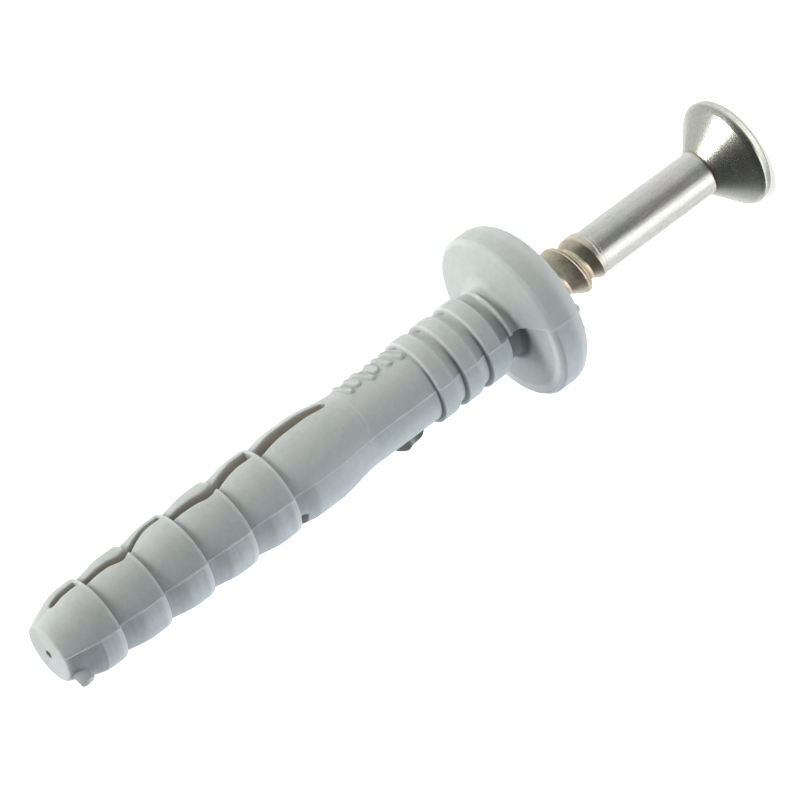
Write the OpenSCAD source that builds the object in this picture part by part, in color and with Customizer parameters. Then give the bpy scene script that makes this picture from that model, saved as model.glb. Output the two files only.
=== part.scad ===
// Hammer fixing plug: a moulded, slit expansion sleeve with a part-driven screw nail.
// Both pieces are drawn on the Z axis from the sleeve's tip and then turned over onto the nail's head.
// The part stands on the flat head at Z = 0, with the sleeve's tip up.

/* [Sleeve] */
// Length of the sleeve, from its tip to the top of the collar
sleeve_l = 40; // [37:0.5:60]
// Diameter of the plain shank
shank_d = 5.36; // [5:0.02:5.6]
// Diameter of the three bands, the drilled hole's nominal size
band_d = 6; // [5.8:0.05:6.3]
// Length of one band's land
band_w = 1.15; // [0.8:0.05:1.5]
// Distance from one band to the next
band_pitch = 2.06; // [1.9:0.02:2.3]
// Distance from the last band's edge to the collar's underside
neck_l = 3.55; // [3.3:0.05:4]

/* [Collar] */
// Diameter of the collar
collar_d = 11.8; // [10:0.1:14]
// Height of the collar at its rim
collar_h = 2.7; // [2.5:0.1:3.4]
// Width of the bevel on the collar's upper edge
collar_bevel = 1.4; // [0.4:0.1:1.6]

/* [Expansion zone] */
// Number of rings
ring_n = 5; // [4:1:6]
// Distance from one ring to the next
ring_pitch = 3.5; // [3.1:0.1:3.8]
// Distance from the tip to the first ring's edge
ring_first = 3.75; // [3.4:0.05:4.2]
// Diameter of the ring nearest the tip
ring_d_tip = 5.9; // [5.7:0.05:6.1]
// Diameter of the ring nearest the collar
ring_d_top = 6.2; // [6:0.05:6.35]
// Length of a ring's land
ring_land = 1.5; // [1.1:0.05:1.9]
// Depth of the step behind the first ring
step_tip = 0.33; // [0.2:0.01:0.4]
// Depth of the step behind the last ring
step_top = 0.3; // [0.16:0.01:0.36]
// Length of the full-size part above the last ring
bulge_l = 1.8; // [1:0.1:2.4]
// Length of the taper down to the shank
taper_l = 3.7; // [2.5:0.1:4.2]
// Length of the cone at the tip
tip_cone = 2.3; // [1.8:0.1:2.8]
// Diameter of the flat tip
tip_d = 4; // [3.4:0.1:4.6]
// Diameter of the vent in the tip
vent_d = 0.6; // [0.3:0.05:0.8]

/* [Slits] */
// Width of the slit between the lower rings
slit_w = 0.62; // [0.4:0.02:0.8]
// Width of the slit from the last ring but one upwards
slit_w_top = 1; // [0.6:0.05:1.1]
// Angle that the slit swings to either side
slit_swing = 12; // [4:1:16]
// Distance from the tip to the slit's lower end
slit_first = 1.4; // [1.2:0.1:2]
// Length of the slit above the last ring
slit_past = 5.8; // [4:0.1:6.5]
// Thickness of the webs that bridge the slit
web = 0.4; // [0.3:0.05:0.6]

/* [Nail] */
// Length of nail that stands out of the collar
nail_out = 17.6; // [12:0.2:19]
// Gap from the driven nail's point to the sleeve's tip
tip_gap = 2.1; // [1.9:0.1:4]
// Diameter of the plain shank
nail_d = 3.22; // [3:0.02:3.4]
// Length of the plain shank
nail_plain = 9.9; // [6:0.05:12]
// Diameter over the thread
thread_d = 3.84; // [3.6:0.02:3.9]
// Diameter of the thread's root
root_d = 2.74; // [2.5:0.02:2.9]
// Pitch of the thread, drawn here as plain buttress rings
thread_pitch = 1.92; // [1.6:0.02:2.2]
// Length of the nail's point
point_l = 4; // [3:0.1:5]
// Diameter of the countersunk head
head_d = 7.7; // [6.6:0.1:8]
// Height of the head's cone
head_cone_h = 2.2; // [2:0.1:2.8]
// Height of the head's rim
head_rim = 0.75; // [0.4:0.05:0.9]
// Length across the driver recess
recess_l = 4.2; // [3:0.1:4.6]
// Width of the driver recess's arms
recess_w = 0.84; // [0.6:0.02:1]
// Depth of the driver recess
recess_h = 2; // [1.2:0.1:2.2]

/* [Fits] */
// Gap between the thread and the sleeve's bore
bore_gap = 0.06; // [0.04:0.01:0.12]
// Gap between the seated head and the collar's countersink
head_gap = 0.12; // [0.08:0.02:0.3]
// Height of the seated head over the collar's top
head_proud = 0.1; // [0:0.05:0.3]
// Diameter of the bore where the nail spreads the sleeve
spread_d = 2; // [1.6:0.1:2.3]

/* [Hidden] */
$fn = 64;
eps = 0.01;

shank_r = shank_d / 2;
band_r = band_d / 2;
collar_r = collar_d / 2;
tip_r = tip_d / 2;
nail_r = nail_d / 2;
crest_r = thread_d / 2;
root_r = root_d / 2;
head_r = head_d / 2;
bore_r = crest_r + bore_gap;
spread_r = spread_d / 2;
seat_r = head_r + head_gap;

// angles about the axis
slit_b = 154;
part_b = 237.7;
cross_b = 272;
lug_b = 310;
nub_b = 284;
recess_b = 20;

// an ease that is level at both ends
curve_n = 6;
function ease(r0, z0, r1, z1) = [for (k = [0:curve_n]) let (u = k / curve_n)
  [r0 + (r1 - r0) * (1 - cos(180 * u)) / 2, z0 + (z1 - z0) * u]];

// rings, counted from the tip: a cone rises to each land, which drops on its collar side
ring_edge = 0.07;
tip_edge = 0.15;
function along(i) = i / (ring_n - 1);
function ring_z(i) = ring_first + i * ring_pitch;
function ring_r(i) = (ring_d_tip + (ring_d_top - ring_d_tip) * along(i)) / 2;
function root_at(i) = ring_r(i) - step_tip - (step_top - step_tip) * along(i);
function segment(i) = [
  i == 0 ? [tip_r, tip_edge] : [root_at(i - 1), ring_z(i - 1) + eps],
  [ring_r(i), i == 0 ? tip_cone : ring_z(i) - ring_land],
  [ring_r(i), ring_z(i) - ring_edge],
  [ring_r(i) - ring_edge, ring_z(i)]
];
last_z = ring_z(ring_n - 1);
bulge_r = ring_d_top / 2;
bulge_z = last_z + 1.5;
taper_z0 = bulge_z + bulge_l;
taper_z1 = taper_z0 + taper_l;

// bands, each with a square lower edge, and the neck with its thin ridge
under_z = sleeve_l - collar_h;
band_last = under_z - neck_l;
band_z0 = band_last - 2 * band_pitch;
groove_r = shank_r - 0.02;
groove_w = 0.3;
band_lip = 0.06;
function band(i) = let (z = band_z0 + i * band_pitch) [
  if (i > 0) [groove_r, z - groove_w],
  [i == 0 ? shank_r : groove_r, z],
  [band_r - band_lip, z + eps],
  [band_r, z + band_lip],
  [band_r, z + band_w]
];
neck_r = shank_r - 0.06;
ridge_r = band_r - 0.15;
ridge_w = 0.16;
ridge_z = band_last + 2.1;
ridge_side = 0.03;

// collar: a filleted underside, a short chamfer, the rim and the slightly rounded bevel
rim_edge = 0.28;
rim_z = under_z + rim_edge;
bevel_w = min(collar_bevel, collar_r - seat_r - 0.3);
bevel_h = 0.86 * bevel_w;
bevel_p = 1.54;
function bevel() = [for (a = [0:22.5:90])
  [collar_r - bevel_w * (1 - pow(cos(a), bevel_p)), sleeve_l - bevel_h * (1 - pow(sin(a), bevel_p))]];

sleeve_outline = concat(
  [[0, 0], [tip_r - tip_edge, 0]],
  [for (i = [0:ring_n - 1]) each segment(i)],
  [[root_at(ring_n - 1), last_z + eps], [bulge_r, bulge_z]],
  ease(bulge_r, taper_z0, shank_r, taper_z1),
  [for (i = [0:2]) each band(i)],
  [
    [neck_r, ridge_z - 0.1],
    [neck_r, ridge_z],
    [ridge_r, ridge_z + ridge_side],
    [ridge_r, ridge_z + ridge_w],
    [neck_r, ridge_z + ridge_w + ridge_side],
    [neck_r, under_z - 0.95],
    [neck_r + 0.1, under_z - 0.7],
    [neck_r + 0.35, under_z - 0.48],
    [neck_r + 0.8, under_z - 0.34],
    [collar_r - 0.9, under_z - 0.06],
    [collar_r - rim_edge, under_z],
    [collar_r, rim_z]
  ],
  bevel(),
  [[0, sleeve_l]]);

// nail, from its point to its head, set proud of the collar by nail_out
head_z = sleeve_l + nail_out;
travel = nail_out - head_proud;
point_z = tip_gap + travel;
cone_z = head_z - head_rim - head_cone_h;
thread_end = cone_z - nail_plain;
point_r = 0.3;
head_edge = 0.15;

// thread: a gentle flank towards the head, a narrow crest and a steep drop; the last ring is lower
runout = 1.2;
last_rise = 0.13;
runout_z = thread_end - runout;
turns = floor((runout_z - point_z - point_l / 4) / thread_pitch);
function nail_limit(z) = min(crest_r, point_r + (crest_r - point_r) * (z - point_z) / point_l);
function tooth(i) = let (z = runout_z - (turns - i) * thread_pitch)
  [for (p = [[0, root_r], [0.06, root_r], [0.6, crest_r], [0.7, crest_r]])
    let (pz = z + p[0] * thread_pitch) [min(p[1], nail_limit(pz)), pz]];

nail_outline = concat(
  [[0, point_z], [point_r, point_z]],
  [for (i = [0:turns - 1]) each tooth(i)],
  [
    [root_r, runout_z],
    [nail_r + last_rise, thread_end - 0.4],
    [nail_r + last_rise, thread_end - 0.15],
    [nail_r, thread_end],
    [nail_r, cone_z - 0.25],
    [nail_r + 0.06, cone_z - 0.08],
    [nail_r + 0.2, cone_z + 0.16],
    [head_r, cone_z + head_cone_h],
    [head_r, head_z - head_edge],
    [head_r - head_edge, head_z],
    [0, head_z]
  ]);

// bore: the spreading length, a funnel that clears the nail's point, the guide and the countersink
blind_z = tip_gap - 0.9;
sink_z1 = sleeve_l + head_proud - head_rim - head_gap / 2;
sink_z0 = sink_z1 - (seat_r - bore_r) * head_cone_h / (head_r - nail_r);
bore_outline = [
  [0, blind_z],
  [vent_d / 2, blind_z],
  [spread_r, blind_z + spread_r],
  [spread_r, point_z - 0.6],
  [bore_r, point_z + point_l - 0.4],
  [bore_r, sink_z0],
  [seat_r, sink_z1],
  [seat_r, sleeve_l + 1],
  [0, sleeve_l + 1]
];

// gate nub, no taller than the first ring
nub_r = 0.5;
nub_z = 0.72;
nub_top = ring_r(0) - 0.01;

module stand() {
  translate([0, 0, head_z]) rotate([180, 0, 0]) children();
}

// one straight leg of a slit, as a thin slab that leans from one angle to the next
module slit_leg(z0, a0, z1, a1, w) {
  side = (shank_r - 0.08) * (a1 - a0) * PI / 180;
  l = norm([side, z1 - z0]);
  rotate([0, 0, slit_b + (a0 + a1) / 2]) translate([0, 0, (z0 + z1) / 2])
    rotate([-atan2(side, z1 - z0), 0, 0]) translate([spread_r / 2, -w / 2, -l / 2]) cube([collar_r, w, l]);
}

// webs bridge the slit at every other ring, and before the rest the legs run into each other
turn_l = 0.65;
function slit_end(i) = slit_swing * (i == 0 || i == ring_n - 1 ? -0.25 : i % 2 == 0 ? -0.85 : 1);
function slit_start(i) = slit_swing * (i % 2 == 0 ? 0.1 : 1);
function slit_below(i) = ring_z(i) + (i % 2 == 0 ? -0.65 * web : 0.1 - turn_l);
function slit_above(i) = ring_z(i) + (i % 2 == 0 ? 0.35 * web : -0.1 - turn_l);

module slit() {
  slit_leg(slit_first, slit_end(0), slit_below(0), slit_end(0), slit_w);
  for (i = [0:ring_n - 2])
    slit_leg(slit_above(i), slit_start(i), slit_below(i + 1), slit_end(i + 1),
      i < ring_n - 2 ? slit_w : slit_w_top);
  slit_leg(slit_above(ring_n - 1), slit_start(ring_n - 1), last_z + slit_past, 0, slit_w_top);
}

// the half of the mould below the parting line leaves a deeper recess under the collar
module neck_recess() {
  rotate([0, 0, part_b]) rotate_extrude(angle = 180) polygon([
    [neck_r - 0.2, ridge_z - 0.25],
    [neck_r - 0.2, under_z - 0.75],
    [neck_r - 0.05, under_z - 0.45],
    [neck_r + 0.4, under_z - 0.15],
    [neck_r + 1.2, under_z - 0.02],
    [collar_r - 0.7, under_z - 0.04],
    [collar_r - 0.7, ridge_z - 0.25]
  ]);
}

// short cross cut behind the last ring, which ends the lower slit
module cross_cut() {
  rotate([0, 0, cross_b]) rotate_extrude(angle = slit_b + 180 - cross_b)
    translate([bulge_r - 0.75, last_z - 0.05]) square([2, 0.75]);
}

// small lug on the underside that keeps the sleeve from turning in its hole
module lug() {
  w = 0.6;
  rotate([0, 0, lug_b]) translate([0, w / 2, taper_z1]) rotate([90, 0, 0]) linear_extrude(w) polygon([
    [shank_r - 0.4, 1.2],
    [shank_r - 0.05, 1.2],
    [band_r + 0.18, 2],
    [band_r + 0.04, 2.45],
    [band_r, 3.1],
    [shank_r + 0.2, 3.4],
    [shank_r - 0.4, 3.8]
  ]);
}

module nub() {
  rotate([0, 0, nub_b]) translate([0, 0, nub_z]) rotate([0, 90, 0]) translate([0, 0, spread_r + 0.4])
    cylinder(r = nub_r, h = nub_top - spread_r - 0.4);
}

module plug_sleeve() {
  color("gainsboro") stand() difference() {
    union() {
      rotate_extrude() polygon(sleeve_outline);
      lug();
      nub();
    }
    rotate_extrude() polygon(bore_outline);
    translate([0, 0, -1]) cylinder(d = vent_d, h = blind_z + 1.5);
    for (b = [0, 180]) rotate([0, 0, b]) slit();
    neck_recess();
    cross_cut();
  }
}

module recess() {
  for (a = [0, 90]) rotate([0, 0, a + recess_b])
    translate([-recess_l / 2, -recess_w / 2, head_z - 0.72 * recess_h]) cube([recess_l, recess_w, recess_h]);
  translate([0, 0, head_z - recess_h]) cylinder(d1 = recess_w, d2 = 0.64 * recess_l, h = recess_h + eps);
}

module drive_nail() {
  color("silver") stand() difference() {
    rotate_extrude() polygon(nail_outline);
    recess();
  }
}

plug_sleeve();
drive_nail();
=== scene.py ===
"""Looks of the hammer fixing plug: the moulded sleeve and the plated screw nail, lit as in a light tent."""

from math import ceil, cos, degrees, pi, radians, sin, sqrt, tan

import bmesh
import bpy
from mathutils import Matrix, Vector


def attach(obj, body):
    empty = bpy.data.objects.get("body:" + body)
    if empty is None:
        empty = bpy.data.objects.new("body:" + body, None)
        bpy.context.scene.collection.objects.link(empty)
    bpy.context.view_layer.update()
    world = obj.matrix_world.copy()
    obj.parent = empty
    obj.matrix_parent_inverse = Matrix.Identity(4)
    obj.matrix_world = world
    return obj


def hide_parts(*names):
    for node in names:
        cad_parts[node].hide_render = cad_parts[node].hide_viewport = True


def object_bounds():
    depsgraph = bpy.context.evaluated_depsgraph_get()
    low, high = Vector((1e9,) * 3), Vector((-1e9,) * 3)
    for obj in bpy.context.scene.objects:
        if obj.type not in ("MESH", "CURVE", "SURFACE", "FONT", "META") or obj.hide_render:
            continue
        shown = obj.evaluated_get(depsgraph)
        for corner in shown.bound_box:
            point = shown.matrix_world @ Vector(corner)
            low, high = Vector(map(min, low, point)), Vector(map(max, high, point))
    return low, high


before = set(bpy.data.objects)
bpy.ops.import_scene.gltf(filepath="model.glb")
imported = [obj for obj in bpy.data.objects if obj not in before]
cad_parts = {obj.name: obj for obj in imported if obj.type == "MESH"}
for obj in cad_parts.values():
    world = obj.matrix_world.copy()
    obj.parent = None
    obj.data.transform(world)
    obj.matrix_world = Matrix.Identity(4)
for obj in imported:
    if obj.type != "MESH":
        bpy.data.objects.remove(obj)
cad_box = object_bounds()
scene = bpy.context.scene
MM = 0.001

# Sizes in millimetres; heights run along the part's own axis, from the sleeve's tip to the nail's head
HEAD_Z = round(cad_box[1][2] / MM, 3)
COLLAR_R = round(cad_box[1][0] / MM, 3)
RINGS = [3.86, 7.33, 10.75, 14.28, 17.75]
RING_R = [2.95, 2.988, 3.025, 3.063, 3.1]
ROOT_R = [2.62, 2.665, 2.71, 2.755, 2.8]
TIP_R, NOSE_Z = 2.0, 2.3
BULGE_Z, TAPER_Z = 19.25, (21.05, 24.75)
SHANK_R = 2.68
BANDS = [29.82, 31.83, 33.88]
BAND_R, GROOVE_R = 3.0, SHANK_R - 0.02
BAND_LAND, BAND_RUN = 1.15, 1.76
NECK_Z = 34.7
SLEEVE_Z, SINK_R = 40.0, 3.97
VENT_R, SPREAD_R, BORE_R = 0.3, 1.0, 1.98
CORE_Z = (1.2, 23.7)

# Bearings round the axis in degrees: towards the camera, the slit, the parting line, the notch
FRONT_B, SLIT_B, PART_B, NOTCH_B = 212.0, 154.0, 237.7, 271.0

# The neck and the collar's underside as (height, radius, rounding): in the upper half of the mould,
# across the middle of that half, and in the lower half
UNDERSIDE = [(37.0, 3.3, 0.35), (37.08, 4.5, 0.8), (37.22, 5.62)]
NECK_UP = [(NECK_Z, BAND_R), (35.08, BAND_R, 0.12), (35.2, 2.7, 0.1), (35.36, 2.62, 0.15),
           (35.88, 2.6, 0.04), (35.91, 2.84, 0.05), (36.13, 2.84, 0.05), (36.16, 2.58, 0.05),
           (36.55, 2.57, 0.3), (36.85, 2.76, 0.3)] + UNDERSIDE
NECK_MID = [(NECK_Z, BAND_R), (35.1, 2.98, 0.3), (35.65, 2.84, 0.5), (36.35, 2.74, 0.5),
            (36.8, 2.86, 0.3)] + UNDERSIDE
NECK_LOW = [(NECK_Z, BAND_R), (35.1, 2.98, 0.3), (35.45, 2.87, 0.3), (35.8, 2.68, 0.08),
            (35.86, 2.42, 0.06), (36.8, 2.4, 0.25), (37.1, 2.62, 0.3), (37.26, 3.3, 0.4),
            (37.24, 4.3, 0.8), UNDERSIDE[-1]]
NECK_ROWS = 64

# The collar's edge, top and countersink, and the wall of the bore
COLLAR = [UNDERSIDE[-1], (37.28, 5.7, 0.08), (37.55, COLLAR_R, 0.2), (38.85, COLLAR_R, 0.5),
          (39.28, 5.76, 0.6), (39.7, 5.42, 0.7), (39.98, 5.0, 0.4), (SLEEVE_Z, 4.7, 0.2),
          (SLEEVE_Z, SINK_R, 0.08), (39.29, SINK_R, 0.1), (37.33, BORE_R, 0.1), (36.9, BORE_R)]
BORE = [(CORE_Z[0], VENT_R), (2.2, SPREAD_R), (19.0, SPREAD_R), (23.2, BORE_R), (30.0, BORE_R)]

# The slit: its ends, the radius where its width is taken, its least half width in degrees, its swing in
# degrees and its width by height, the webs that bridge it, and the notch beside it
SLIT_Z, SLIT_R, LEAST_HALF = (1.4, 23.55), 2.85, 1.2
SLIT_PATH = [(0.0, -4.0), (3.5, -3.0), (3.86, 0.0), (5.0, 1.5), (5.8, 5.0), (6.4, 10.0), (6.7, 11.3),
             (7.0, 9.0), (7.25, 6.5), (7.6, 2.5), (8.1, -3.0), (8.8, -8.0), (9.6, -10.0), (10.48, -8.5),
             (10.86, 1.5), (11.8, 3.4), (12.6, 7.5), (13.2, 11.5), (13.55, 12.3), (13.9, 10.5),
             (14.25, 7.5), (14.7, 3.0), (15.4, -1.5), (16.4, -3.0), (17.48, -2.0), (17.86, 2.0),
             (18.6, 0.5), (20.0, -1.5), (22.0, -1.5), (23.55, 0.0)]
SLIT_W = [(0.0, 0.6), (5.0, 0.64), (6.5, 0.66), (7.6, 0.52), (10.5, 0.52), (10.9, 0.66), (12.0, 0.76),
          (14.25, 0.72), (15.0, 0.86), (16.5, 1.0), (19.0, 1.04), (21.0, 0.98), (23.55, 0.7)]
WEBS = [(RINGS[i] - 0.27, RINGS[i] + 0.11) for i in (0, 2, 4)]
NOTCH_Z, NOTCH_R, NOTCH_EDGE = (17.72, 18.44), 2.35, NOTCH_B - 0.6

# Columns across a slit, and steps in degrees beside its edges, the parting line and the mould's insert
SLIT_COLUMNS = 4
EDGE_REACH, SEAM_REACH = 3, 2.4
BEFORE_EDGE, PAST_EDGE = (EDGE_REACH, 1.7, 0.7), (0, 0.7, 1.7)
SEAM_STEPS = (-SEAM_REACH, -1.3, -0.5, 0.5, 1.3)
INSERT_STEPS = (-5.2, -4.6, -4.0)

# Values painted on the sleeve's vertices, painted light and shade among them, and the zones that they reach,
# as (from, to)
PAINTS = ("painted_edge_highlight", "painted_shade", "painted_deep_shade", "lower_half", "painted_blue_light")
TIP_Z, BULGE_FRONT_Z, BULGE_FRONT_B = (0.18, 2.4), (18.6, 24.8), (222, 264)
INSERT_Z, INSERT_END_Z, INSERT_B = (19.5, 24.4), (24.5, 24.72), (180, PART_B - 4)
NECK_GROOVES, NECK_BAND_Z, POCKET_Z = ((35.1, 35.9), (36.14, 36.8)), (35.89, 36.15), (35.8, 37.5)
UNDERSIDE_Z, UNDERSIDE_LOW_R, UNDERSIDE_UP_R = (36.9, 37.6), (4.95, 5.62), (5.55, 5.89)
EDGE_Z, EDGE_R, COLLAR_BEVEL_Z = (37.2, 37.5), (5.74, 5.92), 38.45
SEAM_Z, BLUE_LIGHT_B, RINGED_END_Z = (0.2, 39.4), (190, PART_B + 228), (17.5, 19.5)
# Shade on the front of the ringed end, by height
FRONT_DARK = [(0.2, 0.1), (1.0, 0.25), (8.0, 0.27), (10.5, 0.25), (16.0, 0.12), (20.0, 0.02), (24.0, 0.03),
              (29.0, 0.05), (35.0, 0.0)]
# Rows without the raised parting line at the tip and in the countersink, rows there without paint, and rows
# in the bore with painted deep shade
SEAM_FROM, SEAM_SKIP, UNPAINTED, DEEP_SHADE_ROWS = 8, 24, 20, 4

# Plain raised bars on the shank: half length, half width and lean of each
BARS = [(0.95, 0.2, 0.2), (0.8, 0.27, 0.05), (1.1, 0.19, 0.22), (0.8, 0.26, -0.05), (0.95, 0.22, 0.12),
        (1.12, 0.2, 0.2)]
BAR_Z, BAR_STEP, BAR_B, BAR_TALL = 25.15, 0.8, 149.0, 0.18
# The fin on the underside, as (height, radius)
LUG = [(26.1, 2.5), (26.2, 2.68), (26.45, 2.88), (26.77, 3.1), (26.95, 3.18), (27.13, 3.13), (27.35, 3.05),
       (27.45, 3.04), (27.6, 3.03), (27.95, 3.0), (28.2, 2.95), (28.4, 2.82), (28.57, 2.66), (28.7, 2.48)]
LUG_B, LUG_HALF, LUG_FOOT_R = 310, 0.3, 2.4
# Where the fin's painted shade is lighter, and below which it carries a trace of painted deep shade
LUG_LESS_SHADE_Z, LUG_DEEP_SHADE_Z = (27.15, 27.75), 27.1
# The gate nub, as (radius, distance from the axis)
NUB = [(0.6, 1.75), (0.55, 2.15), (0.52, 2.35), (0.51, 2.6), (0.5, 2.86), (0.46, 2.92), (0.38, 2.94),
       (0.15, 2.945)]
NUB_B, NUB_Z, NUB_SIDES = 284, 0.74, 32
# The flash: from bearing to bearing, with peaks as (bearing, half width, height)
FLASH_B, FLASH_Z, FLASH_STEPS = (232, 266), 39.96, 48
FLASH_TALL, FLASH_PEAKS = 0.16, [(240, 6, 0.22), (257, 4, 0.1)]

# The nail: radii, heights and steps, and the outline of its shank and head as (height, radius, rounding)
PITCH, CREST_R, THREAD_ROOT_R, NAIL_R, POINT_R = 1.92, 1.92, 1.37, 1.61, 0.3
POINT_Z, FINE_Z, CREST_Z, THREAD_END, PLAIN_Z = 19.6, 39.4, 42.87, 44.75, 45.1
POINT_LENGTH, COARSE_STEP, FINE_STEP, NAIL_SIDES = 4, 0.1, 0.03, 144
SHOULDER_R = NAIL_R + 0.04
HEAD = [(PLAIN_Z, NAIL_R), (54.6, NAIL_R, 0.25), (56.64, 3.64, 0.05), (56.93, 3.83, 0.1), (57.06, 3.84, 0.1),
        (57.45, 3.74, 0.1), (HEAD_Z, 3.58, 0.1), (HEAD_Z, 2.6)]
# The cross recess as (arm's reach, half its width, depth)
RECESS = [(2.1, 0.42, 0), (2.02, 0.4, 0.1), (1.5, 0.34, 1.4), (0.7, 0.24, 1.85)]
RECESS_TURN = 20
# Where the thread's olive finish ends, and the brown corner below the head
OLIVE_END_Z, CORNER_Z = (44.2, 45.0), (54.45, 54.75)


# Curves and outlines
def lerp(a, b, t):
    return a + (b - a) * t


def smooth(t):
    t = min(1.0, max(0.0, t))
    return t * t * (3 - 2 * t)


def window(v, a, b, soft):
    """1 between a and b, 0 outside, with soft edges on the inner side."""
    return smooth((v - a) / soft) * smooth((b - v) / soft)


def spread(a, b, n):
    """n even steps from a, without b itself."""
    return [lerp(a, b, k / n) for k in range(n)]


def along(table, z):
    """The value of a table of (height, value) at one height."""
    if z <= table[0][0]:
        return table[0][1]
    for a, b in zip(table, table[1:]):
        if z <= b[0]:
            return lerp(a[1], b[1], (z - a[0]) / (b[0] - a[0]))
    return table[-1][1]


def rounded(path, step=0.32):
    """A path of (z, r) or (z, r, radius) with its corners rounded and its long runs divided."""
    points = [(p[0], p[1], p[2] if len(p) > 2 else 0.0) for p in path]
    out = [points[0][:2]]
    for a, b, c in zip(points, points[1:], points[2:]):
        corner = Vector(b[:2])
        to_a, to_c = Vector((a[0] - b[0], a[1] - b[1])), Vector((c[0] - b[0], c[1] - b[1]))
        if b[2] <= 0 or to_a.length < 1e-6 or to_c.length < 1e-6:
            out.append(b[:2])
            continue
        angle = to_a.angle(to_c)
        cut = min(b[2] / tan(angle / 2), 0.48 * to_a.length, 0.48 * to_c.length)
        start, end = corner + to_a.normalized() * cut, corner + to_c.normalized() * cut
        n = max(2, ceil((pi - angle) / radians(16)))
        for k in range(n + 1):
            t = k / n
            q = start * (1 - t) ** 2 + corner * (2 * t * (1 - t)) + end * t**2
            out.append((q.x, q.y))
    out.append(points[-1][:2])
    full = [out[0]]
    for a, b in zip(out, out[1:]):
        n = max(1, ceil(Vector((b[0] - a[0], b[1] - a[1])).length / step))
        full += [(lerp(a[0], b[0], k / n), lerp(a[1], b[1], k / n)) for k in range(1, n + 1)]
    return full


def ease(r0, z0, r1, z1, n=14):
    """A taper from one radius to another that starts and ends smoothly."""
    return [(lerp(z0, z1, k / n), lerp(r0, r1, (1 - cos(pi * k / n)) / 2)) for k in range(n + 1)]


def resample(path, n):
    """The path cut into n equal lengths."""
    total = [0.0]
    for a, b in zip(path, path[1:]):
        total.append(total[-1] + Vector((b[0] - a[0], b[1] - a[1])).length)
    out, i = [], 0
    for k in range(n + 1):
        s = total[-1] * k / n
        while i < len(total) - 2 and total[i + 1] < s:
            i += 1
        t = (s - total[i]) / max(1e-9, total[i + 1] - total[i])
        out.append((lerp(path[i][0], path[i + 1][0], t), lerp(path[i][1], path[i + 1][1], t)))
    return out


def insert_rows(path, heights):
    """The path with a point added at each of the heights."""
    for z in heights:
        for i, (a, b) in enumerate(zip(path, path[1:])):
            if a[0] < z - 1e-6 and b[0] > z + 1e-6:
                path.insert(i + 1, (z, lerp(a[1], b[1], (z - a[0]) / (b[0] - a[0]))))
                break
    return path


def ring_path():
    """Outline of the sleeve from the tip's vent to the last band."""
    path = [(0, VENT_R), (0, TIP_R, 0.26), (NOSE_Z, RING_R[0], 3.0)]
    for i, z in enumerate(RINGS):
        path += [(z, RING_R[i], 0.1), (z + 0.03, ROOT_R[i], 0.05)]
        if z < RINGS[-1]:
            path.append((RINGS[i + 1] - 1.5, RING_R[i + 1], 4.0))
    path += [(BULGE_Z, RING_R[-1], 4.0)] + ease(RING_R[-1], TAPER_Z[0], SHANK_R, TAPER_Z[1])
    for i, z in enumerate(BANDS):
        path += [(z, GROOVE_R if i else SHANK_R, 0.04), (z + 0.02, BAND_R, 0.1)]
        if z < BANDS[-1]:
            path += [(z + BAND_LAND, BAND_R, 0.2), (z + BAND_RUN, GROOVE_R, 0.4)]
    return rounded(path + [(NECK_Z, BAND_R)])


def row_marks():
    """Heights that need a row: the ends of the slit, webs and notch, and the painted edges."""
    ends = (0, 0.06, 0.16, 0.3)
    marks = [SLIT_Z[0] + k for k in ends] + [SLIT_Z[1] - k for k in ends]
    marks += [z for web in WEBS for z in web] + [lerp(*NOTCH_Z, k / 8) for k in range(9)]
    marks += [e + k for e in RINGS for k in (-0.48, -0.4, -0.32, -0.22, -0.15, 0.12, 0.25, 0.45)]
    marks += [e + k for e in BANDS for k in (-0.24, -0.2, -0.15, -0.08, 0.2)]
    insert_z, step = 24.16, 0.04
    return marks + [TIP_Z[1] - 0.12, TIP_Z[1]] + [insert_z + step * k for k in range(16)]


def sleeve_rows():
    """The sleeve's three outlines, row by row, and how many rows lie below the neck."""
    body = insert_rows(ring_path(), row_marks())
    necks = [resample(rounded(p, 0.05), NECK_ROWS)[1:] for p in (NECK_UP, NECK_MID, NECK_LOW)]
    collar = rounded(COLLAR)[1:] + [BORE[-1], (CORE_Z[1], BORE_R)]
    return [body + neck + collar for neck in necks], len(body)


# Slit, parting line and halves of the mould
def slit_half(z):
    """Half of the slit's width, in degrees, with round ends."""
    lo, hi = SLIT_Z
    end = min(abs(z - lo), abs(z - hi))
    full = degrees(along(SLIT_W, z) / 2 / SLIT_R)
    if z < lo or z > hi:
        return lerp(LEAST_HALF, full, smooth(end / 1.5))
    return max(LEAST_HALF, full * sqrt(max(0.0, 1 - max(0.0, 1 - end / 0.35) ** 2)))


def slit_at(z):
    """Bearings of the middle of both slits, and half their width."""
    swing = along(SLIT_PATH, z)
    return SLIT_B + swing, SLIT_B + 180 + swing, slit_half(z)


def in_slit(z):
    return SLIT_Z[0] <= z <= SLIT_Z[1] and not any(a < z < b for a, b in WEBS)


def columns(z):
    """Bearings of the columns at one height: they follow both slits' edges and the parting lines."""
    one, two, h = slit_at(z)
    again, opposite = one + 360, PART_B + 180
    out = spread(one - h, one + h, SLIT_COLUMNS) + [one + h + k for k in PAST_EDGE]
    out += spread(one + h + EDGE_REACH, PART_B + INSERT_STEPS[0], 22)
    out += [PART_B + k for k in INSERT_STEPS + SEAM_STEPS]
    out += spread(PART_B + SEAM_REACH, NOTCH_EDGE, 13) + [NOTCH_EDGE]
    out += spread(NOTCH_B, two - h - EDGE_REACH, 17) + [two - h - k for k in BEFORE_EDGE]
    out += spread(two - h, two + h, SLIT_COLUMNS) + [two + h + k for k in PAST_EDGE]
    out += spread(two + h + EDGE_REACH, opposite - SEAM_REACH, 22) + [opposite + k for k in SEAM_STEPS]
    out += spread(opposite + SEAM_REACH, again - h - EDGE_REACH, 30)
    return out + [again - h - k for k in BEFORE_EDGE]


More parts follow.
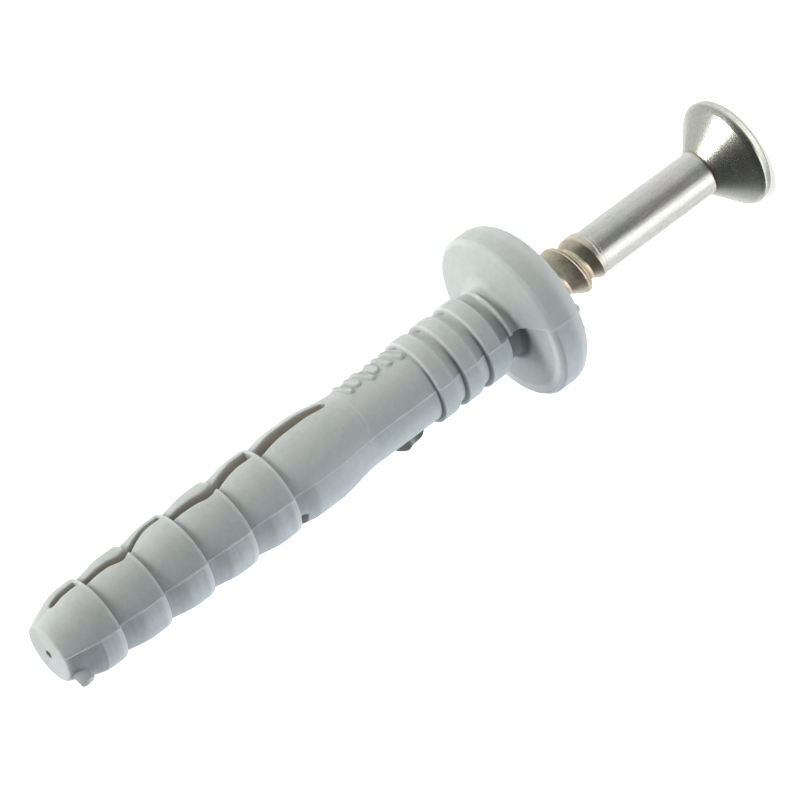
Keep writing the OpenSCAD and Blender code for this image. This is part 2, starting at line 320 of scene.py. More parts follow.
def part_gap(b):
    """Degrees from the nearest parting line."""
    return min(abs(b - PART_B), abs(b - PART_B - 180), abs(b - PART_B + 180))


def lower_half(b):
    """1 in the lower half of the mould, 0 in the upper."""
    return smooth(0.5 + min(b - PART_B, PART_B + 180 - b) / 1.6)


def painted_blue_light(b):
    """Painted blue light: 1 on the sides that face down in the main view, where the plastic is bluer, with a
    slow change.
    """
    return window(b, *BLUE_LIGHT_B, 50)


def middle(b):
    """1 across the middle of the upper half, where the neck's grooves run out."""
    off = abs((b - PART_B + 90 + 180) % 360 - 180)
    return 1 - smooth(off / 28)


# Paint on the sleeve
def painted_edge_highlight(z, b, r):
    """Painted highlight: how far an edge is paler than the faces beside it."""
    low = lower_half(b)
    wide = lerp(0.3, 0.46, low)
    v = 0.0
    for e in RINGS:
        if e - wide < z <= e + 0.01:
            v = max(v, lerp(0.75, 1.0, low) * smooth((z - e + wide) / 0.2))
    for e in BANDS:
        if e + 0.005 < z < e + 0.2:
            v = max(v, lerp(0.8, 0.35, low) * (1 - smooth((z - e) / 0.2)))
        v = max(v, lerp(0.3, 0.0, low) * window(z, e + 1.0, e + 1.2, 0.08))
    # painted highlight on the neck's small band and on the collar's edges
    v = max(v, 0.8 * (1 - low) * window(z, *NECK_BAND_Z, 0.03))
    if UNDERSIDE_Z[0] < z < UNDERSIDE_Z[1]:
        v = max(v, low * 0.8 * window(r, *UNDERSIDE_LOW_R, 0.2))
        v = max(v, (1 - low) * 0.22 * smooth((b - 160) / 20) * window(r, *UNDERSIDE_UP_R, 0.1))
    v = max(v, 0.85 * smooth((z - COLLAR_BEVEL_Z) / 0.75))
    # painted highlight on the parting line and on the bulge's front
    if SEAM_Z[0] < z < SEAM_Z[1]:
        v = max(v, 0.55 * (1 - smooth((part_gap(b) - 0.5) / 0.9)))
    v = max(v, 0.33 * window(b, *BULGE_FRONT_B, 14) * window(z, *BULGE_FRONT_Z, 0.8))
    # painted highlight along the faint outline of the mould's insert
    turned_in = z + 0.3 * smooth((b - PART_B + 22) / 16)
    v = max(v, 0.36 * window(turned_in, *INSERT_END_Z, 0.06) * window(b, *INSERT_B, 3))
    return max(v, 0.3 * window(z, *INSERT_Z, 0.3) * window(b, PART_B - 5.0, PART_B - 4.2, 0.3))


def painted_shade(z, b, r):
    """Painted shade: how far a hollow, or a face that light misses, is darker than open faces."""
    low = lower_half(b)
    near, clear = smooth((b - 185) / 35), smooth((part_gap(b) - 0.7) / 0.9)
    # painted shade on the tip's lower half, behind the rings' edges, on their flanks below, and at the
    # bands' feet and grooves
    v = low * 0.4 * window(z, *TIP_Z, 0.12)
    for e in RINGS:
        if z > e + 0.02:
            v = max(v, 0.36 * (1 - smooth((z - e) / 0.6)))
        v = max(v, low * 0.3 * window(z, e + 0.02, e + 1.7, 0.25))
    for e in BANDS:
        foot = window(z, e - lerp(0.21, 0.15, low), e + 0.03, 0.07) * (1 - 0.8 * smooth((r - 2.7) / 0.2))
        v = max(v, lerp(0.1 + 0.75 * near, 1.05, low) * foot)
        v = max(v, (1 - low) * (0.15 + 0.25 * near) * window(z, e + 1.16, e + 2.08, 0.1))
    # painted shade in the neck's grooves in the upper half, at the collar's edge and in the pocket in the
    # lower half
    grooves = max(window(z, *NECK_GROOVES[0], 0.06), 0.6 * window(z, *NECK_GROOVES[1], 0.14))
    v = max(v, clear * (1 - low) * (1 - middle(b)) * (0.22 + 0.38 * near) * grooves)
    if EDGE_Z[0] < z < EDGE_Z[1]:
        v = max(v, low * 0.35 * window(r, *EDGE_R, 0.05))
    if POCKET_Z[0] < z < POCKET_Z[1]:
        v = max(v, 1.2 * clear * low * smooth((z - POCKET_Z[0]) / 0.1) * (1 - smooth((r - 2.6) / 0.5)))
    # painted shade: the ringed end is a little darker towards the front
    return v + (1 - low) * along(FRONT_DARK, z) * smooth(1 - max(0, FRONT_B - b) / 55)


# Sleeve
def profile(rows, i, b):
    """Height and radius of a row at one bearing."""
    z, r = (lerp(rows[0][i][k], rows[1][i][k], middle(b)) for k in (0, 1))
    return lerp(z, rows[2][i][0], lower_half(b)), lerp(r, rows[2][i][1], lower_half(b))


def seam_lift(rows, i, b):
    """How far the parting line stands out of a row, along the axis and away from it."""
    last = len(rows[0]) - 1
    (za, ra), (zb, rb) = profile(rows, max(0, i - 1), b), profile(rows, min(last, i + 1), b)
    run = Vector((zb - za, rb - ra))
    run = run.normalized() if run.length > 1e-9 else Vector((1, 0))
    tall = 0.05 * (1 - smooth((part_gap(b) - 0.3) / 1.3))
    return -run.y * tall, run.x * tall


def notch_depth(z, b, slit_edge):
    """1 inside the notch beside the second slit, 0 outside."""
    if not (NOTCH_Z[0] < z < NOTCH_Z[1] and NOTCH_B - 0.1 < b < slit_edge + 0.1):
        return 0.0
    open_to = 0.36 * sqrt(max(0.0, 1 - (max(0.0, NOTCH_B + 12 - b) / 12.5) ** 2))
    return smooth((open_to - abs(z - sum(NOTCH_Z) / 2)) / 0.12)


def outer_ring(bm, paint, rows, body_rows, i):
    """One row of vertices on the sleeve's outside."""
    light, dark, deep, lower, cool = paint
    count, z = len(rows[0]), rows[0][i][0]
    one, two, h = slit_at(z)
    ring = []
    for b in columns(z):
        at_z, r = profile(rows, i, b)
        if part_gap(b) < SEAM_REACH and SEAM_FROM < i < count - SEAM_SKIP:
            up, out = seam_lift(rows, i, b)
            at_z, r = at_z + up, r + out
        # the slits' edges are slightly rounded
        if i < body_rows and in_slit(z):
            off = min(abs(abs(b - one - k) - h) for k in (0, 180, 360))
            r -= 0.05 * max(0.0, 1 - off / 1.7) ** 2
        sunk = notch_depth(z, b, two - h)
        r = lerp(r, NOTCH_R, sunk)
        v = bm.verts.new((r * cos(radians(b)), r * sin(radians(b)), at_z))
        v[lower], v[cool] = lower_half(b), painted_blue_light(b)
        if i < count - UNPAINTED:
            v[light], v[dark] = painted_edge_highlight(at_z, b, r), painted_shade(at_z, b, r)
        # painted shade, with a little painted deep shade, inside the notch
        if sunk:
            v[deep], v[dark] = 0.05 * sunk, 1.2 * sunk
        # painted deep shade on the last rows, which run down into the bore
        if i >= count - DEEP_SHADE_ROWS:
            v[deep] = 1.0
        ring.append(v)
    return ring


def inner_ring(bm, paint, rows, i):
    """One row of vertices on the wall of the bore."""
    light, dark, deep, lower, cool = paint
    z = rows[0][i][0]
    r = along(BORE, z)
    ring = []
    for b in columns(z):
        at_z = profile(rows, i, b)[0]
        v = bm.verts.new((r * cos(radians(b)), r * sin(radians(b)), at_z))
        # the bore's wall carries painted highlight, painted shade and full painted deep shade
        v[light], v[dark], v[deep] = painted_edge_highlight(at_z, b, r), painted_shade(at_z, b, r), 1.0
        v[lower], v[cool] = lower_half(b), painted_blue_light(b)
        ring.append(v)
    return ring


def slit_cells(rows, first, last):
    """The cells (row, column) that the slits leave open."""
    z = SLIT_Z[0]
    _, two, h = slit_at(z)
    starts = (0, columns(z).index(two - h))
    cells = set()
    for i in range(first, last):
        za, zb = rows[0][i][0], rows[0][i + 1][0]
        if in_slit((za + zb) / 2) and SLIT_Z[0] <= za and zb <= SLIT_Z[1] + 1e-6:
            cells |= {(i, start + k) for start in starts for k in range(SLIT_COLUMNS)}
    return cells


def build_sleeve(bm):
    rows, body_rows = sleeve_rows()
    inner = [i for i in range(body_rows) if CORE_Z[0] < rows[0][i][0] < CORE_Z[1]]
    first, last = inner[0], inner[-1]
    paint = [bm.verts.layers.float.new(name) for name in PAINTS]
    outer = [outer_ring(bm, paint, rows, body_rows, i) for i in range(len(rows[0]))]
    core = {i: inner_ring(bm, paint, rows, i) for i in inner}
    opened = slit_cells(rows, first, last)
    n = len(outer[0])
    face = bm.faces.new
    for i in range(len(outer) - 1):
        for j in range(n):
            k = (j + 1) % n
            if (i, j) not in opened:
                face((outer[i][j], outer[i][k], outer[i + 1][k], outer[i + 1][j]))
    for i in range(first, last):
        for j in range(n):
            k = (j + 1) % n
            if (i, j) not in opened:
                face((core[i][k], core[i][j], core[i + 1][j], core[i + 1][k]))
                continue
            # walls of the slit, where the next cell is closed
            if (i, (j - 1) % n) not in opened:
                face((outer[i][j], outer[i + 1][j], core[i + 1][j], core[i][j]))
            if (i, k) not in opened:
                face((outer[i + 1][k], outer[i][k], core[i][k], core[i + 1][k]))
            if (i - 1, j) not in opened:
                face((outer[i][k], outer[i][j], core[i][j], core[i][k]))
            if (i + 1, j) not in opened:
                face((outer[i + 1][j], outer[i + 1][k], core[i + 1][k], core[i + 1][j]))
    # the bore meets the countersink's end above, and the vent below
    for j in range(n):
        k = (j + 1) % n
        face((core[last][k], core[last][j], outer[-1][j], outer[-1][k]))
        face((outer[0][j], outer[0][k], core[first][k], core[first][j]))
    bmesh.ops.remove_doubles(bm, verts=bm.verts, dist=1e-4)
    bmesh.ops.recalc_face_normals(bm, faces=bm.faces)


def loft(bm, loops):
    """A skin over loops of points, closed at its end."""
    rings = [[bm.verts.new(p) for p in loop] for loop in loops]
    n = len(rings[0])
    for a, b in zip(rings, rings[1:]):
        for j in range(n):
            k = (j + 1) % n
            bm.faces.new((a[j], a[k], b[k], b[j]))
    bm.faces.new(rings[-1])
    return rings


def outward(b):
    """Directions away from the axis and round it, at one bearing."""
    a = radians(b)
    return Vector((cos(a), sin(a), 0)), Vector((-sin(a), cos(a), 0))


def circle(n):
    return [2 * pi * k / n for k in range(n)]


def add_nub(bm):
    """The gate nub on the tip."""
    out, side = outward(NUB_B)
    at, up = Vector((0, 0, NUB_Z)), Vector((0, 0, 1))
    turns = circle(NUB_SIDES)
    loops = [[at + out * h + (side * cos(t) + up * sin(t)) * r for t in turns] for r, h in NUB]
    dark, cool = bm.verts.layers.float["painted_shade"], bm.verts.layers.float["painted_blue_light"]
    for ring in loft(bm, loops):
        # painted blue light over the nub, and painted shade that is darker on its side towards the tip
        for t, v in zip(turns, ring):
            v[cool] = 1.0
            v[dark] = 0.12 + 0.4 * smooth(0.2 - sin(t))


def add_lug(bm):
    """The fin that keeps the sleeve from turning, on its underside."""
    out, side = outward(LUG_B)
    w, loops = LUG_HALF, []
    for z, r in LUG:
        e = min(0.09, max(0.01, (r - 2.45) / 2))
        shape = [(-w - 0.08, LUG_FOOT_R), (-w, r - e), (-w + e * 0.3, r - e * 0.3), (-w + e, r),
                 (w - e, r), (w - e * 0.3, r - e * 0.3), (w, r - e), (w + 0.08, LUG_FOOT_R)]
        loops.append([side * x + out * y + Vector((0, 0, z)) for x, y in shape])
    dark, deep = bm.verts.layers.float["painted_shade"], bm.verts.layers.float["painted_deep_shade"]
    # painted shade over the fin, lighter over part of its length, with a trace of painted deep shade at its
    # end towards the tip
    for (z, _), ring in zip(LUG, loft(bm, loops)):
        for v in ring:
            v[dark] = 1.2 * (1 - 0.85 * window(z, *LUG_LESS_SHADE_Z, 0.3))
            v[deep] = 0.03 if z < LUG_DEEP_SHADE_Z else 0.0


def add_flash(bm):
    """A thin ridge of flash on the collar's upper edge, where the halves of the mould met."""
    loops = []
    for k in range(FLASH_STEPS + 1):
        b = lerp(*FLASH_B, k / FLASH_STEPS)
        tall = FLASH_TALL
        for peak, half, height in FLASH_PEAKS:
            tall += height * smooth(1 - abs(b - peak) / half)
        tall = tall * window(b, *FLASH_B, 5) - 0.12
        out, up = outward(b)[0], Vector((0, 0, 1))
        shape = [(4.3, -0.15), (4.48, tall - 0.02), (4.58, tall), (4.8, tall), (4.94, tall - 0.05),
                 (5.1, -0.3)]
        loops.append([out * r + up * (FLASH_Z + h) for r, h in shape])
    loft(bm, loops)


def add_bars(bm):
    """Plain raised bars on the shank, without meaning."""
    lifts = ((-0.1, 0.1), (0.0, 0.07), (0.07, 0.03), (BAR_TALL - 0.03, 0.0), (BAR_TALL, -0.035))
    dark = bm.verts.layers.float["painted_shade"]
    for k, (length, wide, lean) in enumerate(BARS):
        loops = []
        for lift, grow in lifts:
            r, loop = SHANK_R + lift, []
            for t in circle(20):
                x = (wide + grow) * cos(t)
                y = (length + grow) * (1 if sin(t) > 0 else -1) * min(1, abs(sin(t)) ** 0.4)
                a = radians(BAR_B) + y / r
                loop.append(Vector((r * cos(a), r * sin(a), BAR_Z + BAR_STEP * k + (x + lean * y))))
            loops.append(loop)
        # painted shadow round the bars' feet
        for amount, ring in zip((0.25, 0.25, 0.12), loft(bm, loops)):
            for v in ring:
                v[dark] = amount


# Nail
def thread_height(phase):
    """The thread's height over one turn, from 0 at its root to 1 at its crest, which has a slight groove."""
    root_end, crest, crest_end, flank, groove = 0.07, 0.6, 0.7, 0.28, 0.07
    p = phase % 1.0
    if p < root_end:
        return 0.0
    if p < crest:
        return ((p - root_end) / (crest - root_end)) ** 0.9
    if p < crest_end:
        return 1.0 - groove * sin(pi * (p - crest) / (crest_end - crest))
    return 1 - smooth((p - crest_end) / flank)


def nail_side_r(z, b):
    """Radius of the threaded end at one height and bearing."""
    limit = min(CREST_R, POINT_R + (CREST_R - POINT_R) * (z - POINT_Z) / POINT_LENGTH)
    turn = ((b - FRONT_B) / 360 + 0.5) % 1.0 - 0.5
    past = (z - CREST_Z) / PITCH - turn
    r = lerp(THREAD_ROOT_R, CREST_R, thread_height(past + 0.65))
    # the last turn is lower and ends at a small double shoulder
    if past > 0.35:
        r = min(r, NAIL_R + 0.13)
    if z > THREAD_END - 0.1:
        r = lerp(r, SHOULDER_R, smooth((z - THREAD_END + 0.1) / 0.08))
    if z > THREAD_END + 0.2:
        r = lerp(SHOULDER_R, NAIL_R, smooth((z - THREAD_END - 0.2) / 0.06))
    return max(POINT_R, min(r, limit))


def add_recess(bm, top):
    """The cross recess, with the flat top filled between its outline and the last circle."""
    loops = []
    for reach, wide, depth in RECESS:
        loop = []
        for quarter in range(4):
            a = radians(90 * quarter + RECESS_TURN)
            for x, y in ((reach, -wide), (reach, wide), (wide, wide)):
                at = (x * cos(a) - y * sin(a), x * sin(a) + y * cos(a), HEAD_Z - depth)
                loop.append(bm.verts.new(at))
        loops.append(loop)
    n, corners = len(top), len(loops[0])
    edges = [bm.edges.get((top[j], top[(j + 1) % n])) for j in range(n)]
    edges += [bm.edges.new((loops[0][k], loops[0][(k + 1) % corners])) for k in range(corners)]
    bmesh.ops.triangle_fill(bm, use_beauty=True, edges=edges)
    for a, b in zip(loops, loops[1:]):
        for k in range(corners):
            after = (k + 1) % corners
            bm.faces.new((a[k], a[after], b[after], b[k]))
    bm.faces.new(loops[-1])


def build_nail(bm):
    n = NAIL_SIDES
    heights = [POINT_Z + COARSE_STEP * k for k in range(int((FINE_Z - POINT_Z) / COARSE_STEP))]
    heights += [FINE_Z + FINE_STEP * k for k in range(int((PLAIN_Z - FINE_Z) / FINE_STEP))]
    rows = [[(nail_side_r(z, 360 * j / n), z) for j in range(n)] for z in heights]
    rows += [[(r, z)] * n for z, r in rounded(HEAD, 0.3)]
    grid = []
    for row in rows:
        points = [(r * cos(a), r * sin(a), z) for a, (r, z) in zip(circle(n), row)]
        grid.append([bm.verts.new(p) for p in points])
    for a, b in zip(grid, grid[1:]):
        for j in range(n):
            k = (j + 1) % n
            bm.faces.new((a[j], a[k], b[k], b[j]))
    bm.faces.new(list(reversed(grid[0])))
    add_recess(bm, grid[-1])
    bmesh.ops.recalc_face_normals(bm, faces=bm.faces)


# Nodes
def nodes_of(name):
    mat = bpy.data.materials.new(name)
    mat.use_nodes = True
    tree = mat.node_tree
    return mat, tree, tree.nodes["Principled BSDF"]


def node(tree, kind, inputs=None, **props):
    """A node with its inputs linked or set."""
    made = tree.nodes.new(kind)
    for key, value in props.items():
        setattr(made, key, value)
    for key, value in (inputs or {}).items():
        if isinstance(value, bpy.types.NodeSocket):
            tree.links.new(value, made.inputs[key])
        else:
            made.inputs[key].default_value = value
    return made


def ramp(tree, factor, stops):
    """A colour ramp; a plain number stands for a grey."""
    made = tree.nodes.new("ShaderNodeValToRGB")
    while len(made.color_ramp.elements) < len(stops):
        made.color_ramp.elements.new(0.5)
    for element, (position, colour) in zip(made.color_ramp.elements, stops):
        element.position = position
        element.color = (colour, colour, colour, 1) if isinstance(colour, float) else (*colour, 1)
    tree.links.new(factor, made.inputs["Fac"])
    return made.outputs["Color"]


def blend(tree, factor, a, b, kind="MIX"):
    """One colour laid over another by a factor; each is a socket or a plain value."""
    made = tree.nodes.new("ShaderNodeMix")
    made.data_type, made.blend_type = "RGBA", kind
    for name, value in (("Factor", factor), ("A", a), ("B", b)):
        if isinstance(value, bpy.types.NodeSocket):
            tree.links.new(value, made.inputs[name])
        else:
            made.inputs[name].default_value = (*value, 1) if isinstance(value, tuple) else value
    return made.outputs["Result"]


def tinted(tree, colour, tint):
    return blend(tree, 1.0, colour, tint, "MULTIPLY")


def noise(tree, at, scale, detail, roughness):
    inputs = {"Vector": at, "Scale": scale, "Detail": detail, "Roughness": roughness}
    return node(tree, "ShaderNodeTexNoise", inputs).outputs["Fac"]


def mapped(tree, value, lo=0.0, hi=1.0, to_lo=0.0, to_hi=1.0):
    """A value brought from lo..hi to to_lo..to_hi."""
    inputs = {"Value": value, "From Min": lo, "From Max": hi, "To Min": to_lo, "To Max": to_hi}
    return node(tree, "ShaderNodeMapRange", inputs).outputs["Result"]


def painted(tree, name, lo=0.0, hi=1.0, to=1.0):
    """A value stored on the mesh, brought from lo..hi to 0..to."""
    value = node(tree, "ShaderNodeAttribute", attribute_name=name).outputs["Fac"]
    return mapped(tree, value, lo, hi, 0.0, to)


def scaled(tree, vector, scale):
    return node(tree, "ShaderNodeMapping", {"Vector": vector, "Scale": scale}).outputs["Vector"]


def part_millimetres(tree):
    """The piece's own coordinates, in millimetres."""
    return scaled(tree, node(tree, "ShaderNodeTexCoord").outputs["Object"], (1 / MM, 1 / MM, 1 / MM))


def height_in(tree, vector):
    return node(tree, "ShaderNodeSeparateXYZ", {"Vector": vector}).outputs["Z"]


def calc(tree, operation, *values):
    return node(tree, "ShaderNodeMath", dict(enumerate(values)), operation=operation).outputs["Value"]


# Materials
def plastic():
    """Grey moulded plastic: cloudy and speckled, with painted highlight on its edges, painted shade in its
    hollows and painted blue light on its lower sides.
    """
    mat, tree, shader = nodes_of("sleeve_plastic")
    at = part_millimetres(tree)
    cloud = noise(tree, at, 0.45, 3.0, 0.6)
    speck = noise(tree, at, 7.0, 4.0, 0.7)
    spots = noise(tree, at, 1.9, 2.0, 0.6)
    streak = noise(tree, scaled(tree, at, (0.35, 0.35, 3.2)), 1.0, 3.0, 0.6)
    base = ramp(tree, cloud, [(0.3, (0.492, 0.533, 0.512)), (0.5, (0.507, 0.546, 0.532)),
                              (0.72, (0.492, 0.533, 0.532))])
    grain = ramp(tree, speck, [(0.25, 0.92), (0.5, 1.0), (0.8, 1.04)])
    mottle = ramp(tree, spots, [(0.35, (0.965, 0.97, 0.975)), (0.5, 1.0), (0.65, (1.03, 1.025, 1.02))])
    colour = tinted(tree, tinted(tree, base, grain), mottle)
    # the lower half of the mould left fine marks, mostly across the ringed end
    marks = ramp(tree, streak, [(0.3, 0.92), (0.5, 1.0), (0.7, (1.07, 1.07, 1.06))])
    ringed = mapped(tree, height_in(tree, at), *RINGED_END_Z, 1.0, 0.3)
    marked = blend(tree, ringed, colour, tinted(tree, colour, marks))
    colour = blend(tree, painted(tree, "lower_half"), colour, marked)
    # painted blue light on the sides that face down
    colour = blend(tree, painted(tree, "painted_blue_light"), colour, tinted(tree, colour, (0.975, 0.99, 1.05)))
    # painted highlight on the edges
    colour = blend(tree, painted(tree, "painted_edge_highlight", to=0.6), colour, (0.74, 0.775, 0.775))
    # painted shade in the hollows
    shaded = tinted(tree, colour, (0.304, 0.298, 0.28))
    colour = blend(tree, painted(tree, "painted_shade", hi=1.2), colour, shaded)
    # painted deep shade in the slits, the bore and the notch
    colour = blend(tree, painted(tree, "painted_deep_shade", 0.015, 0.13), colour, (0.41, 0.385, 0.33))
    tree.links.new(colour, shader.inputs["Base Color"])
    tree.links.new(mapped(tree, speck, to_lo=0.5, to_hi=0.68), shader.inputs["Roughness"])
    fine = node(tree, "ShaderNodeBump", {"Height": speck, "Strength": 0.35, "Distance": 0.03 * MM})
    wave = node(tree, "ShaderNodeBump", {"Height": cloud, "Strength": 0.4, "Distance": 0.1 * MM,
                                         "Normal": fine.outputs["Normal"]})
    tree.links.new(wave.outputs["Normal"], shader.inputs["Normal"])
    shader.inputs["Subsurface Weight"].default_value = 0.12
    shader.inputs["Subsurface Radius"].default_value = (1.0, 0.9, 0.8)
    shader.inputs["Subsurface Scale"].default_value = 0.5 * MM
    shader.inputs["Specular IOR Level"].default_value = 0.35
    return mat


def plated():
    """Drawn and plated steel: olive and duller on the thread, silver on the shank, brown below the head."""
    mat, tree, shader = nodes_of("nail_steel")
    at = part_millimetres(tree)
    z = height_in(tree, at)
    threaded = mapped(tree, z, *OLIVE_END_Z, 1.0, 0.0)
    stain = noise(tree, at, 0.9, 4.0, 0.6)
    pits = noise(tree, at, 6.0, 3.0, 0.7)
    streak = noise(tree, scaled(tree, at, (9, 9, 0.5)), 1.0, 5.0, 0.65)
    silver = ramp(tree, stain, [(0.3, (0.74, 0.79, 0.68)), (0.5, (0.83, 0.83, 0.8)),
                                (0.7, (0.82, 0.79, 0.77))])
    olive = ramp(tree, stain, [(0.3, (0.72, 0.74, 0.53)), (0.48, (0.88, 0.83, 0.66)),
                               (0.62, (0.86, 0.68, 0.52)), (0.75, (0.8, 0.8, 0.74))])
    worn = ramp(tree, streak, [(0.3, (0.84, 0.84, 0.85)), (0.5, 0.98), (0.7, (1.06, 1.06, 1.05))])
    dull = ramp(tree, pits, [(0.3, (0.86, 0.86, 0.87)), (0.55, 1.0), (0.75, (1.04, 1.04, 1.03))])
    corner = ramp(tree, mapped(tree, z, *CORNER_Z), [(0.0, 1.0), (0.5, (0.74, 0.64, 0.5)),
                                                     (1.0, (0.96, 0.985, 0.92))])
    colour = tinted(tree, tinted(tree, blend(tree, threaded, silver, olive), worn), dull)
    tree.links.new(tinted(tree, colour, corner), shader.inputs["Base Color"])
    rough = mapped(tree, streak, to_lo=0.2, to_hi=0.34)
    tree.links.new(calc(tree, "MULTIPLY_ADD", threaded, 0.08, rough), shader.inputs["Roughness"])
    bump = node(tree, "ShaderNodeBump", {"Height": streak, "Strength": 0.25, "Distance": 0.02 * MM})
    tree.links.new(bump.outputs["Normal"], shader.inputs["Normal"])
    shader.inputs["Metallic"].default_value = 1.0
    return mat


# Pieces
def add_object(name, data):
    obj = bpy.data.objects.new(name, data)
    scene.collection.objects.link(obj)
    return obj


def add_piece(name, bm, body, node_name, material, sharp):
    """Turns a bmesh in the part's own millimetres into a piece that rides on a body."""
    mesh = bpy.data.meshes.new(name)
    bm.to_mesh(mesh)
    bm.free()
    mesh.transform(Matrix.Scale(MM, 4))
    mesh.materials.append(material)
    for p in mesh.polygons:
        p.use_smooth = True
    mesh.set_sharp_from_angle(angle=radians(sharp))
    obj = add_object(name, mesh)
    # the part stands on the nail's head
    obj.matrix_world = Matrix.Translation((0, 0, HEAD_Z * MM)) @ Matrix.Rotation(pi, 4, "X")
    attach(obj, body)
    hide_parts(node_name)


bm = bmesh.new()
build_sleeve(bm)
add_nub(bm)
add_lug(bm)
add_flash(bm)
add_bars(bm)
add_piece("sleeve", bm, "sleeve", "plug_sleeve", plastic(), 40)
bm = bmesh.new()
build_nail(bm)
add_piece("nail", bm, "nail", "drive_nail", plated(), 32)

# Camera: the view of the part lying on its side, turned with the part onto its head
LEAN, AZIMUTH, ELEVATION = radians(4.909), radians(-41.5), radians(48.8)
AIM_Z, AIM_RIGHT, AIM_UP = 27.15, 1.08, 0.45
LENS, SENSOR, DISTANCE = 220.6, 36, 0.308
turned = Matrix.Rotation(pi, 3, "X") @ Matrix.Rotation(pi / 2 - LEAN, 3, "Y").transposed()
back = Vector((sin(AZIMUTH) * cos(ELEVATION), -cos(AZIMUTH) * cos(ELEVATION), sin(ELEVATION)))
right = Vector((cos(AZIMUTH), sin(AZIMUTH), 0))
right, up, back = turned @ right, turned @ back.cross(right), turned @ back
aim = Vector((0, 0, (HEAD_Z - AIM_Z) * MM)) + right * AIM_RIGHT * MM + up * AIM_UP * MM
camera = add_object("camera", bpy.data.cameras.new("camera"))
camera.data.sensor_width, camera.data.lens = SENSOR, LENS
camera.data.clip_start, camera.data.clip_end = 0.01, 20
camera.matrix_world = (Matrix.Translation(aim + back * DISTANCE)
                       @ Matrix((right, up, back)).transposed().to_4x4())
scene.camera = camera

# Floor, white to the camera where no shadow falls; the nail mirrors the tent in its place
FLOOR_HALF, FLOOR_GLOW = 3, 0.55
corners = [(-1, -1), (1, -1), (1, 1), (-1, 1)]
floor_mesh = bpy.data.meshes.new("floor")
floor_mesh.from_pydata([(x * FLOOR_HALF, y * FLOOR_HALF, 0) for x, y in corners], [], [(0, 1, 2, 3)])
floor = add_object("floor", floor_mesh)
floor.visible_glossy = False
mat, tree, shader = nodes_of("floor_white")
shader.inputs["Base Color"].default_value = (0.82, 0.82, 0.82, 1)
shader.inputs["Roughness"].default_value = 0.9
shader.inputs["Specular IOR Level"].default_value = 0.0
shader.inputs["Emission Color"].default_value = (1, 1, 1, 1)
seen = node(tree, "ShaderNodeLightPath").outputs["Is Camera Ray"]
tree.links.new(calc(tree, "MULTIPLY", seen, FLOOR_GLOW), shader.inputs["Emission Strength"])
floor_mesh.materials.append(mat)

# World: a light tent that is dark towards the viewer, as rings of (bearing, light). Bearings run from -180
# to 180, with 0 towards the viewer and 90 to the upper side of the picture
SKY = 1.4
ABOVE = [(-180, 0.43), (-158, 0.45), (-138, 0.39), (-113, 0.07), (-50, 0.03), (0, 0.04), (40, 0.05),
         (60, 0.25), (100, 0.36), (140, 0.43), (180, 0.43)]
HORIZON = [(-180, 0.68), (-132, 0.6), (-118, 1.0), (-40, 1.0), (-30, 0.5), (-18, 0.085), (0, 0.08),
           (22, 0.17), (43, 0.39), (79, 0.49), (122, 0.64), (180, 0.68)]
BELOW = [(-180, 0.68), (-126, 0.59), (-86, 0.61), (-70, 1.0), (-52, 1.15), (-34, 0.6), (-22, 0.085),
         (0, 0.08), (22, 0.17), (43, 0.39), (79, 0.49), (122, 0.64), (180, 0.68)]
GROUND = [(-180, 0.3), (-107, 0.36), (-60, 0.8), (-30, 0.95), (0, 0.95), (40, 0.75), (107, 0.62),
          (140, 0.55), (180, 0.3)]
front = Vector((back.x, back.y, 0)).normalized()
side = Vector((0, 0, 1)).cross(front)
side = side if side.dot(right) < 0 else -side
world = bpy.data.worlds.new("tent")
scene.world = world
world.use_nodes = True
tree = world.node_tree
toward = node(tree, "ShaderNodeTexCoord").outputs["Generated"]
ahead = node(tree, "ShaderNodeVectorMath", {0: toward, 1: front}, operation="DOT_PRODUCT").outputs["Value"]
aside = node(tree, "ShaderNodeVectorMath", {0: toward, 1: side}, operation="DOT_PRODUCT").outputs["Value"]
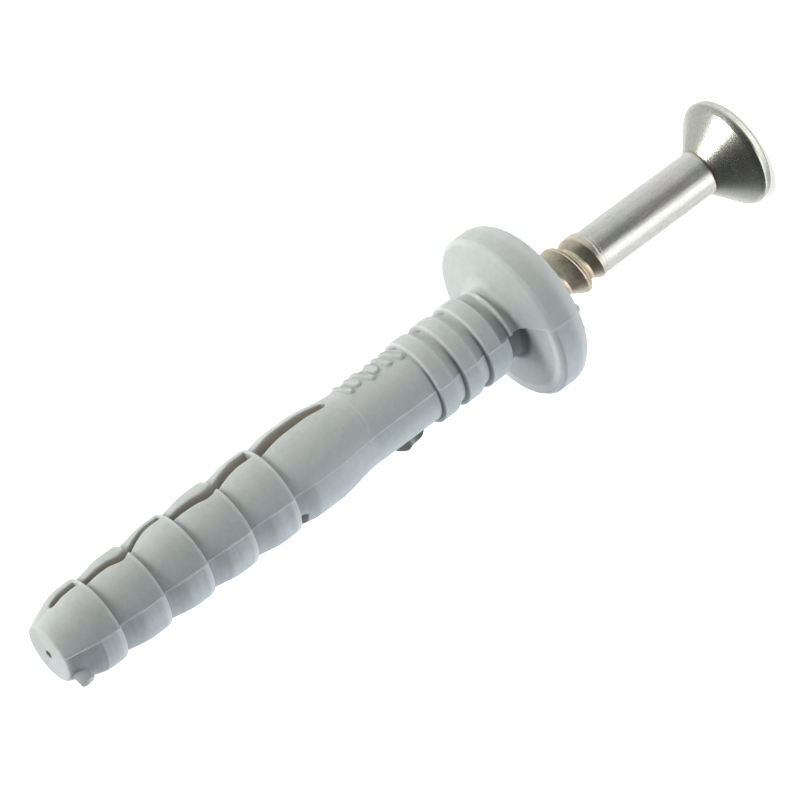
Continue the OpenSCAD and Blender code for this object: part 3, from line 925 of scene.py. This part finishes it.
share = mapped(tree, calc(tree, "ARCTAN2", aside, ahead), -pi, pi)
height = height_in(tree, toward)


def ring_of_light(stops):
    return ramp(tree, share, [(u / 360 + 0.5, light) for u, light in stops])


lower = blend(tree, mapped(tree, height, -0.34, -0.26), ring_of_light(BELOW), ring_of_light(HORIZON))
sides = blend(tree, mapped(tree, height, -0.04, 0.04), lower, ring_of_light(ABOVE))
sky = blend(tree, mapped(tree, height, -0.65, -0.5), ring_of_light(GROUND), sides)
tree.links.new(sky, tree.nodes["Background"].inputs["Color"])
tree.nodes["Background"].inputs["Strength"].default_value = SKY

# Lamps
MIDDLE_Z, FILL_Z = 0.03, 0.012


def panel(name, bearing, lift, distance, size, power, colour, base_z=MIDDLE_Z):
    """A soft panel that faces the part's middle, at a bearing of the tent and a lift in degrees."""
    light = bpy.data.lights.new(name, "AREA")
    light.shape = "RECTANGLE"
    light.size, light.size_y = size
    light.energy, light.color = power, colour
    u, lift = radians(bearing), radians(lift)
    heading = (front * cos(u) + side * sin(u)) * cos(lift) + Vector((0, 0, sin(lift)))
    at = Vector((0, 0, base_z)) + heading * distance
    turn = (at - Vector((0, 0, MIDDLE_Z))).to_track_quat("Z", "Y")
    obj = add_object(name, light)
    # the nail mirrors the key alone; the tent stands for the other panels
    obj.visible_glossy = name == "key"
    obj.matrix_world = Matrix.Translation(at) @ turn.to_matrix().to_4x4()


panel("key", 70, 54, 0.4, (0.12, 0.16), 1.0, (1.0, 0.975, 0.93))
panel("rim", 118, 12, 0.4, (0.3, 0.3), 0.85, (1.0, 0.98, 0.95))
panel("fill", -112, 0, 0.12, (0.12, 0.02), 0.09, (0.86, 0.94, 1.0), FILL_Z)
panel("side", -86, 27, 0.4, (0.15, 0.09), 0.1, (0.88, 0.95, 1.0))
panel("front", -25, 15, 0.5, (0.3, 0.3), 0.26, (0.95, 0.98, 1.0))
panel("top", 170, 62, 0.4, (0.25, 0.25), 0.52, (1.0, 0.99, 0.97))

scene.view_settings.view_transform = "Standard"
